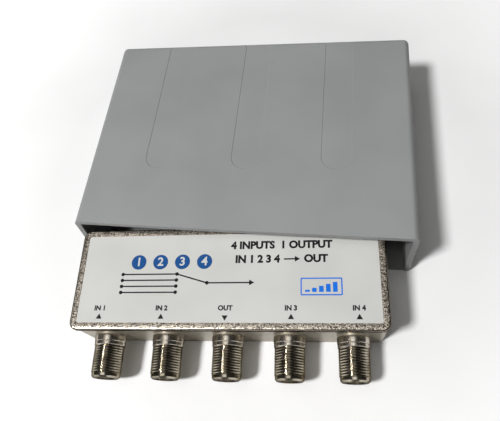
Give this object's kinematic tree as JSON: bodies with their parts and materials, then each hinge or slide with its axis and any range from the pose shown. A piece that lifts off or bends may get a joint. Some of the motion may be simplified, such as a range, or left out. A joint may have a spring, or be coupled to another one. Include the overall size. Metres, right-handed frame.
{
  "type": "satellite switch",
  "caption": "Flat die-cast satellite switch with a row of threaded coaxial ports, slid part of the way out of its grey moulded weather hood.",
  "frame": {"origin": "middle of the hood's back face, on the surface that it lies on", "axes": "+Z out of the surface towards the hood's front, +Y towards the hood's closed end, ports towards -Y"},
  "size_m": [0.1116, 0.1266, 0.027],
  "materials": {
    "hood_plastic": "fine moulded grain",
    "case_metal": "cast, sand-textured, nickel plated",
    "plate_metal": "pressed sheet, plated",
    "label_film": "satin film",
    "board_laminate": "solder mask",
    "screw_metal": "zinc plated",
    "port_metal": "turned, nickel plated",
    "insulator_plastic": "moulded",
    "contact_metal": "gold flashed spring bronze",
    "ferrite": "sintered",
    "can_metal": "drawn can",
    "chip_ceramic": "fired ceramic",
    "chip_black": "moulded epoxy"
  },
  "bodies": {
    "hood": {"weather_hood": "hood_plastic"},
    "switch": {"back_plate": "plate_metal", "board_screws": "screw_metal", "case_shell": "case_metal", "chip_capacitors": "chip_ceramic", "chip_resistors": "chip_black", "circuit_board": "board_laminate", "clock_crystal": "can_metal", "control_chip": "chip_black", "front_label": "label_film", "input_1_barrel": "port_metal", "input_1_choke": "ferrite", "input_1_contact": "contact_metal", "input_1_insulator": "insulator_plastic", "input_2_barrel": "port_metal", "input_2_choke": "ferrite", "input_2_contact": "contact_metal", "input_2_insulator": "insulator_plastic", "input_3_barrel": "port_metal", "input_3_choke": "ferrite", "input_3_contact": "contact_metal", "input_3_insulator": "insulator_plastic", "input_4_barrel": "port_metal", "input_4_choke": "ferrite", "input_4_contact": "contact_metal", "input_4_insulator": "insulator_plastic", "receiver_barrel": "port_metal", "receiver_choke": "ferrite", "receiver_contact": "contact_metal", "receiver_insulator": "insulator_plastic", "smoothing_capacitor": "can_metal", "supply_transistor_1": "chip_black", "supply_transistor_2": "chip_black", "supply_transistor_3": "chip_black", "supply_transistor_4": "chip_black", "switching_diode_1": "chip_black", "switching_diode_2": "chip_black", "switching_diode_3": "chip_black", "switching_diode_4": "chip_black", "voltage_regulator": "chip_black"}
  },
  "joints": [
    {"name": "case_slide", "type": "slide", "parent": "hood", "child": "switch", "axis": [0, 0.9973, 0.0735], "range_m": [0, 0.0465]}
  ]
}
